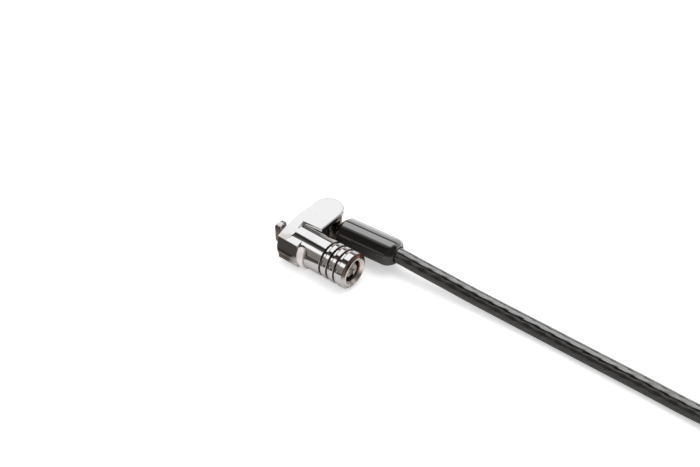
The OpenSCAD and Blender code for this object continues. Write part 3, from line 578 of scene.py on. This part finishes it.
# glossy smoked vinyl with the rope's lay swelling and showing through it
def makeJacket(s):
    material, tree, shader = newMaterial("vinylJacket", metallic=0.0, ior=s["ior"], coat=1.0,
                                         coatRoughness=s["coatRoughness"], coatIor=s["coatIor"])
    uv = addNode(tree, "ShaderNodeUVMap", uv_map="tube").outputs["UV"]
    along, around, _ = addParts(tree, uv)
    wander = addNoise(tree, uv, s["wanderSize"], 2, 0.5)
    turns = addMath(tree, "ADD", addMath(tree, "DIVIDE", along, s["lay"]), around)
    turns = addShares(tree, turns, (wander, s["layWander"]))
    turns = addMath(tree, "MULTIPLY", turns, 2 * math.pi * s["strands"])
    strand = addMath(tree, "SINE", turns)
    touch = addTouch(tree, s)
    base = addMix(tree, touch["Smudge"], s["black"], s["smudged"])
    showing = addProduct(tree, addRange(tree, strand, *s["crests"]),
                         addRange(tree, wander, *s["clearPatches"]))
    feed(tree, shader.inputs["Base Color"], addMix(tree, showing, base, s["wire"]))
    feed(tree, shader.inputs["Roughness"],
         addShares(tree, s["roughness"], (touch["Smudge"], s["smudgeRough"])))
    addPaintedSheenCoat(tree, shader, s)
    fine = addNoise(tree, addPlace(tree), s["grainSize"], 3, 0.6)
    height = addShares(tree, addMath(tree, "MULTIPLY", fine, s["grain"]), (strand, s["laySwell"]))
    feed(tree, shader.inputs["Coat Normal"],
         addBump(tree, shader, height, s["bump"], s["bumpDepth"]))
    return material


strapSettings = {
    "valley": (0.014, 0.014, 0.015), "thread": (0.040, 0.039, 0.039), "crests": (-0.6, 0.8),
    "warp": 9000.0, "weft": 7000.0, "fuzzSize": 6000, "ior": 1.5, "roughness": 0.85,
    "bump": 0.5, "bumpDepth": 0.00015,
}


def makeStrap(s):
    material, tree, shader = newMaterial("wovenStrap", metallic=0.0, ior=s["ior"],
                                         roughness=s["roughness"])
    place = addPlace(tree)
    x, y, z = addParts(tree, place)
    warp = addMath(tree, "SINE", addMath(tree, "MULTIPLY", x, s["warp"]))
    across = addMath(tree, "ADD", y, z)
    weft = addMath(tree, "SINE", addMath(tree, "MULTIPLY", across, s["weft"]))
    weave = addMath(tree, "MULTIPLY", warp, weft)
    feed(tree, shader.inputs["Base Color"],
         addMix(tree, addRange(tree, weave, *s["crests"]), s["valley"], s["thread"]))
    fuzz = addNoise(tree, place, s["fuzzSize"], 3, 0.7)
    addBump(tree, shader, addMath(tree, "ADD", weave, fuzz), s["bump"], s["bumpDepth"])
    return material


# Turned metals: name, colour, darker colour, roughness, axis, and what differs from the rest.
armTurn = math.radians(cableSettings["armTurn"])
alongX, alongZ, alongArm = (1, 0, 0), (0, 0, 1), (math.cos(armTurn), math.sin(armTurn), 0.0)
turnedFinishes = {
    "steelX": ("turnedSteel", (0.62, 0.61, 0.60), (0.42, 0.41, 0.40), 0.2, alongX, {}),
    "steelZ": ("turnedPinSteel", (0.62, 0.61, 0.60), (0.45, 0.43, 0.42), 0.18, alongZ, {}),
    "steelArm": ("fittingSteel", (0.62, 0.61, 0.60), (0.36, 0.33, 0.31), 0.16, alongArm, {}),
    # the link's steel is darkened and browned as painted shade, for the shadow it hangs in under
    # the lobe
    "linkSteel": ("linkSteel", (0.36, 0.29, 0.235), (0.20, 0.155, 0.12), 0.24, alongArm, {}),
    "coreSteel": ("coreSteel", (0.55, 0.53, 0.51), (0.34, 0.30, 0.27), 0.16, alongX, {}),
    "spring": ("springSteel", (0.55, 0.55, 0.56), (0.38, 0.38, 0.39), 0.25, alongX,
               {"ringScale": 30000.0}),
    # blackened steel for the spindle clip; on the pin block the same dark finish is painted shade
    # for the dark slot around it
    "blackened": ("blackenedSteel", (0.10, 0.095, 0.092), (0.035, 0.033, 0.032), 0.24, alongX, {}),
    "brassX": ("turnedBrass", (0.66, 0.46, 0.20), (0.42, 0.27, 0.11), 0.24, alongX, {}),
    "brassZ": ("washerBrass", (0.60, 0.44, 0.22), (0.30, 0.20, 0.10), 0.28, alongZ, {}),
    "clipSatin": ("satinClip", (0.97, 0.915, 0.90), (0.90, 0.845, 0.83), 0.4, alongX,
                  {"metallic": 0.35, "ringScale": 5000.0}),
    "crimp": ("crimpedSleeve", (0.66, 0.66, 0.67), (0.48, 0.47, 0.47), 0.22, alongX,
              {"ringScale": 2500.0}),
}
finishes = {key: makeTurnedMetal(*row, **extra) for key, (*row, extra) in turnedFinishes.items()}
finishes["chrome"] = makeChrome(chromeSettings)
finishes["moulding"] = makeGlossMoulding(mouldingSettings)
finishes["jacket"] = makeJacket(jacketSettings)
finishes["strap"] = makeStrap(strapSettings)

nodeFinish = {
    "housing": "chrome", "retaining_clip": "clipSatin", "nose_bushing": "steelX",
    # the pin block's dark finish is painted shade
    "guide_pins": "steelX", "pin_block": "blackened", "block_pin": "steelZ",
    "pin_springs": "spring", "driver_pins": "steelX", "key_pins": "brassX",
    "key_core": "coreSteel", "t_bar": "steelX", "t_bar_pin": "steelZ",
    # the link's dark brown finish is painted shade
    "spindle_clip": "blackened", "hinge_pin": "steelZ", "link": "linkSteel",
    "hinge_washers": "brassZ", "cable_sleeve": "moulding", "swivel_socket": "steelArm",
    "swivel_collar": "brassX", "cable_ferrule": "steelArm", "cable_core": "steelArm",
    "hank_tie": "strap", "end_crimp": "crimp",
}


def setFinish(mesh, finish):
    mesh.materials.clear()
    mesh.materials.append(finishes[finish])


for name, finish in nodeFinish.items():
    setFinish(nodes[name].data, finish)
setFinish(cable.data, "jacket")
print("materials assigned:", len(finishes))

# Cable sleeve: a moulding with a ridged top and bottom, rounded ends and the bore for the link
# and the cable. Lengths are in mm along the arm, from the hinge pin. The section's angles are
# those of its outward normal.
sleeveSettings = {
    "start": 4.85, "end": 22.95, "halfWidth": 4.12, "halfHeight": 3.3,
    "crestRadius": 3.7, "cornerRadius": 0.65, "turns": (90, 69, 63, 7, 0), "arcSteps": (7, 3, 8, 3),
    "startRound": (1.0, 0.8), "startPull": (0.75, 0.8), "noseRound": (2.6, 2.9), "lip": 0.08,
    "stemHole": 1.95, "stemEdge": 0.12, "cableHole": 2.32, "mouthEdge": (0.05, 0.02),
    "cableGrip": 0.07, "gripFrom": 0.25, "bore": 3.0, "boreFrom": 5.5, "boreTo": 21.9,
    "roundSteps": 10, "bodySteps": 6, "weld": 0.0005, "sharp": 38,
}


# share of the way from the full section to the round end, for a depth behind that end
def roundingPull(depth, reach):
    return 1 - math.sqrt(1 - (1 - depth / reach) ** 2) if depth < reach else 0.0


# quarter of the section from the crest to the side: crest, slope, corner and side arcs;
# the slope's and the side's radii follow from the half width and half height
def sectionQuarter(s):
    turns = [math.radians(t) for t in s["turns"]]
    across = [math.cos(b) - math.cos(a) for a, b in zip(turns, turns[1:])]
    down = [math.sin(a) - math.sin(b) for a, b in zip(turns, turns[1:])]
    crest, corner = s["crestRadius"], s["cornerRadius"]
    left = Vector((s["halfWidth"] - crest * across[0] - corner * across[2],
                   s["halfHeight"] - crest * down[0] - corner * down[2]))
    slope, side = Matrix(((across[1], across[3]), (down[1], down[3]))).inverted() @ left
    spot = Vector((0, s["halfHeight"]))
    points = [spot]
    for a, b, radius, steps in zip(turns, turns[1:], (crest, slope, corner, side), s["arcSteps"]):
        for i in range(1, steps + 1):
            turn = a + (b - a) * i / steps
            way = Vector((math.cos(turn) - math.cos(a), math.sin(turn) - math.sin(a)))
            points.append(spot + way * radius)
        spot = points[-1]
    return points


def makeSleeve(s):
    shape = bmesh.new()
    quarter = sectionQuarter(s)
    section = [Vector((p.x, p.y)) for p in reversed(quarter[1:])]
    section += [Vector((-p.x, p.y)) for p in quarter[:-1]]
    section += [-p for p in section]

    def addRing(at, pullY, pullZ, radius):
        verts = bmesh.ops.create_circle(shape, segments=len(section), radius=1.0)["verts"]
        for v, full in zip(verts, section):
            end = full.normalized() * radius
            v.co = (at, (1 - pullY) * full.x + pullY * end.x, (1 - pullZ) * full.y + pullZ * end.y)
        return list({edge for v in verts for edge in v.link_edges})

    def outerRing(at):
        back, front = at - s["start"], s["end"] - at
        if back < front:
            starts = zip(s["startPull"], s["startRound"])
            pulls = [pull * roundingPull(back, reach) for pull, reach in starts]
        else:
            pulls = [roundingPull(front, reach) for reach in s["noseRound"]]
        return addRing(at, *pulls, s["cableHole"] + s["lip"])

    steps = s["roundSteps"]
    curve = [1 - math.cos(math.pi / 2 * i / steps) for i in range(steps + 1)]
    first, last = s["start"] + s["startRound"][0], s["end"] - s["noseRound"][0]
    places = [s["start"] + s["startRound"][0] * c for c in curve]
    places += [first + (last - first) * i / s["bodySteps"] for i in range(1, s["bodySteps"])]
    places += [s["end"] - s["noseRound"][0] * c for c in reversed(curve)]
    grip, bore, stem = s["cableHole"] - s["cableGrip"], s["bore"], s["stemHole"]
    inside, wider = s["mouthEdge"]
    inner = ((s["end"] - inside, s["cableHole"] + wider), (s["end"] - s["gripFrom"], grip),
             (s["boreTo"], grip), (s["boreTo"], bore), (s["boreFrom"], bore), (s["boreFrom"], stem),
             (s["start"] + s["stemEdge"], stem), (s["start"], stem + s["stemEdge"]))
    loops = [outerRing(at) for at in places] + [addRing(at, 1, 1, r) for at, r in inner]
    for one, other in zip(loops, loops[1:] + loops[:1]):
        bmesh.ops.bridge_loops(shape, edges=one + other)
    bmesh.ops.remove_doubles(shape, verts=shape.verts, dist=s["weld"])
    bmesh.ops.recalc_face_normals(shape, faces=shape.faces)
    toPin = Matrix.Translation(Vector((*cableSettings["pin"], 0)) - headOrigin)
    move = Matrix.Scale(mm, 4) @ toPin @ Matrix.Rotation(armTurn, 4, "Z")
    bmesh.ops.transform(shape, matrix=move, verts=shape.verts)
    for face in shape.faces:
        face.smooth = True
    for edge in shape.edges:
        edge.smooth = edge.calc_face_angle(0) <= math.radians(s["sharp"])
    mesh = bpy.data.meshes.new("sleeveMoulding")
    shape.to_mesh(mesh)
    shape.free()
    setFinish(mesh, "moulding")
    piece = addPiece("sleeveMoulding", mesh)
    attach(piece, "sleeve")
    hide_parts("cable_sleeve")


makeSleeve(sleeveSettings)
print("sleeve moulded")

# Copies of the solids' skins.
skinSettings = {"weld": 0.000002, "sliver": 0.000003, "flat": 0.3}  # metres, metres, degrees


# a node's skin with its doubled corners merged, ready to edit
def openCopy(node, name):
    mesh = nodes[node].data.copy()
    mesh.name = name
    shape = bmesh.new()
    shape.from_mesh(mesh)
    bmesh.ops.remove_doubles(shape, verts=shape.verts, dist=skinSettings["weld"])
    return mesh, shape


def addBevel(piece, name, width):
    bevel = piece.modifiers.new(name, "BEVEL")
    bevel.width = width
    bevel.segments = 2
    return bevel


# Plated pieces: copies of the solids with softly polished edges. The housing's chamfer starts a
# little later, and the hood's fade into the barrel is shaded as one skin.
platedSettings = {
    "housing": {
        "copy": "housingCasting", "body": "lock", "edge": 0.00005, "angle": 20,
        "chamferFrom": (0.0095, 0.0099), "chamferRadius": 0.00495, "chamferShift": 0.0003,
        "fade": (-0.00974, -0.00814, 0.0085),  # along X, and the height above which it lies
    },
    "retaining_clip": {"copy": "clipPressing", "body": "lock", "edge": 0.00004, "angle": 28},
}


def makePlated(node, s):
    mesh, shape = openCopy(node, s["copy"])
    bmesh.ops.dissolve_degenerate(shape, edges=shape.edges, dist=skinSettings["sliver"])
    bmesh.ops.dissolve_limit(shape, angle_limit=math.radians(skinSettings["flat"]),
                             verts=shape.verts, edges=shape.edges)
    if "chamferFrom" in s:
        low, high = s["chamferFrom"]
        ends = [v for v in shape.verts if low < v.co.x < high
                and math.hypot(v.co.y - axisY, v.co.z - axisZ) > s["chamferRadius"]]
        bmesh.ops.translate(shape, verts=ends, vec=(s["chamferShift"], 0, 0))
    for face in shape.faces:
        face.smooth = True
    polished = shape.edges.layers.float.new("bevel_weight_edge")
    low, high, above = s.get("fade", (0, 0, 0))
    for edge in shape.edges:
        fades = all(low < v.co.x < high and v.co.z > above for v in edge.verts)
        edge.smooth = fades or edge.calc_face_angle(0) < math.radians(s["angle"])
        edge[polished] = 0.0 if edge.smooth else 1.0
    shape.to_mesh(mesh)
    shape.free()
    if "custom_normal" in mesh.attributes:
        mesh.attributes.remove(mesh.attributes["custom_normal"])
    piece = addPiece(s["copy"], mesh)
    bevel = addBevel(piece, "polishedEdge", s["edge"])
    bevel.limit_method = "WEIGHT"
    bevel.harden_normals = True
    piece.modifiers.new("evenNormals", "WEIGHTED_NORMAL").keep_sharp = True
    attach(piece, s["body"])
    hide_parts(node)


for node, settings in platedSettings.items():
    makePlated(node, settings)
print("plated pieces:", len(platedSettings))

# Hank tie: a woven strap over the solid's form.
tieSettings = {"bevel": 0.0003, "flat": 0.02}  # metres, radians


def makeTie(s):
    mesh, shape = openCopy("hank_tie", "hankStrap")
    bmesh.ops.dissolve_limit(shape, angle_limit=s["flat"], verts=shape.verts, edges=shape.edges)
    shape.to_mesh(mesh)
    shape.free()
    strap = addPiece("hankStrap", mesh)
    addBevel(strap, "softEdge", s["bevel"])
    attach(strap, "arm")
    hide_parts("hank_tie")
    return strap


strap = makeTie(tieSettings)
print("tie made")

# Floor. Polished metal sees it in its own tone, with a bright sweep far behind, and with a painted
# dark patch under the lock's device end, seen only in reflections, whose tones run along Y: painted
# shade standing in for a dark device beside the lock and its shadow.
floorSettings = {
    "size": 4, "pale": ((0.80, 0.80, 0.80), (0.82, 0.82, 0.82)), "grainSize": 40, "lift": 0.42,
    "mirrored": (0.72, 0.705, 0.685), "sweep": (1.25, 1.25, 1.25), "sweepY": (0.03, 0.10),
    "paintedShadeEdge": (-0.0104, -0.0080), "paintedShadeBack": (-0.004, 0.0), "paintedShadeY": (-0.020, -0.009),
    "card": ((0.0, (0.072, 0.066, 0.062)), (0.36, (0.066, 0.060, 0.057)),
             (0.50, (0.032, 0.028, 0.026)), (0.58, (0.012, 0.010, 0.009)),
             (0.65, (0.06, 0.05, 0.045)), (0.72, (0.19, 0.155, 0.14)), (0.9, (0.27, 0.225, 0.20))),
}


def makeFloor(s):
    shape = bmesh.new()
    bmesh.ops.create_grid(shape, x_segments=1, y_segments=1, size=s["size"])
    mesh = bpy.data.meshes.new("studioFloor")
    shape.to_mesh(mesh)
    shape.free()
    material = bpy.data.materials.new("paleFloor")
    material.use_nodes = True
    tree = material.node_tree
    tree.nodes.clear()
    place = addPlace(tree)
    x, y, _ = addParts(tree, place)
    path = addNode(tree, "ShaderNodeLightPath").outputs
    # painted shade seen only in reflections: a dark patch under the device end, its tones running
    # along Y
    card = addProduct(tree, addRange(tree, x, *s["paintedShadeEdge"], 1.0, 0.0),
                      addRange(tree, y, *s["paintedShadeBack"], 1.0, 0.0), path["Is Glossy Ray"])
    mirrored = addMix(tree, addRange(tree, y, *s["sweepY"]), s["mirrored"], s["sweep"])
    colour = addMix(tree, addNoise(tree, place, s["grainSize"], 2, 0.5), *s["pale"])
    colour = addMix(tree, path["Is Glossy Ray"], colour, mirrored)
    colour = addMix(tree, card, colour, addRamp(tree, addRange(tree, y, *s["paintedShadeY"]), s["card"]))
    diffuse = addNode(tree, "ShaderNodeBsdfDiffuse")
    feed(tree, diffuse.inputs["Color"], colour)
    glow = addNode(tree, "ShaderNodeEmission")
    feed(tree, glow.inputs["Color"], (1, 1, 1))
    feed(tree, glow.inputs["Strength"], addMath(tree, "MULTIPLY", path["Is Camera Ray"], s["lift"]))
    both = addNode(tree, "ShaderNodeAddShader")
    tree.links.new(diffuse.outputs[0], both.inputs[0])
    tree.links.new(glow.outputs[0], both.inputs[1])
    out = addNode(tree, "ShaderNodeOutputMaterial")
    tree.links.new(both.outputs[0], out.inputs["Surface"])
    mesh.materials.append(material)
    addPiece("studioFloor", mesh)


# What polished metal sees, by the angle about the lock's axis in degrees: softboxes, gaps and
# dark flags. The key bands are for directions that lean to the key end.
worldSettings = {
    "bands": ((-180, 0.42), (-60, 0.8), (-3, 0.85), (2, 1.0), (10, 0.9), (15, 0.42), (26, 0.36),
              (29, 0.04), (35, 0.04), (38, 1.38), (87, 1.38), (90, 0.5), (94, 0.035),
              (106, 0.045), (117, 0.2), (120, 1.45), (137, 1.45), (140, 0.55), (146, 0.30),
              (176, 0.27), (180, 0.42)),
    "keyBands": ((-180, 0.42), (10, 0.6), (50, 0.6), (62, 0.06), (137, 0.06), (150, 0.27),
                 (180, 0.42)),
    "keyLean": (-0.22, -0.02),
    "warm": (1.0, 0.95, 0.895), "warmBelow": 0.7,  # tint of the parts that are no softbox
    "plain": 0.62, "white": 1.0,
}


def makeWorld(s):
    world = bpy.data.worlds.new("studio")
    scene.world = world
    world.use_nodes = True
    tree = world.node_tree
    tree.nodes.clear()
    direction = addNode(tree, "ShaderNodeTexCoord").outputs["Generated"]
    x, y, z = addParts(tree, direction)
    angle = addRange(tree, addMath(tree, "ARCTAN2", z, y), -math.pi, math.pi)
    top = max(level for degrees, level in s["bands"])

    def stop(degrees, level):
        tint = s["warm"] if level < s["warmBelow"] else (1, 1, 1)
        return (degrees + 180) / 360, [level / top * w for w in tint]

    def addLight(colour, strength):
        light = addNode(tree, "ShaderNodeBackground")
        feed(tree, light.inputs["Color"], colour)
        light.inputs["Strength"].default_value = strength
        return light.outputs[0]

    def mixLights(factor, one, other):
        mix = addNode(tree, "ShaderNodeMixShader")
        for socket, value in zip(mix.inputs, (factor, one, other)):
            tree.links.new(value, socket)
        return mix.outputs[0]

    ramps = [addRamp(tree, angle, [stop(*band) for band in s[key]])
             for key in ("bands", "keyBands")]
    sky = addMix(tree, addRange(tree, x, *s["keyLean"]), *ramps)
    path = addNode(tree, "ShaderNodeLightPath").outputs
    lit = mixLights(path["Is Glossy Ray"], addLight((1, 1, 1), s["plain"]), addLight(sky, top))
    seen = addMath(tree, "MAXIMUM", path["Is Camera Ray"], path["Is Transmission Ray"])
    out = addNode(tree, "ShaderNodeOutputWorld")
    tree.links.new(mixLights(seen, lit, addLight((1, 1, 1), s["white"])), out.inputs["Surface"])


lampSettings = {
    "overhead": {"place": (0.05, 0.10, 0.55), "size": (0.5, 0.4), "power": 1.9},
    "window": {"place": (-0.30, -0.35, 0.45), "size": (0.35, 0.35), "power": 0.8},
}
lampTarget = Vector((0.0, 0.0, 0.005))


def makeLamp(name, s):
    light = bpy.data.lights.new(name, "AREA")
    light.shape = "RECTANGLE"
    light.size, light.size_y = s["size"]
    light.energy = s["power"]
    lamp = addPiece(name, light)
    aim = (lampTarget - Vector(s["place"])).to_track_quat("-Z", "Y")
    lamp.matrix_world = Matrix.Translation(s["place"]) @ aim.to_matrix().to_4x4()
    lamp.visible_glossy = False
    lamp.visible_camera = False


makeFloor(floorSettings)
makeWorld(worldSettings)
for name, settings in lampSettings.items():
    makeLamp(name, settings)
scene.view_settings.view_transform = "Standard"
print("studio set")
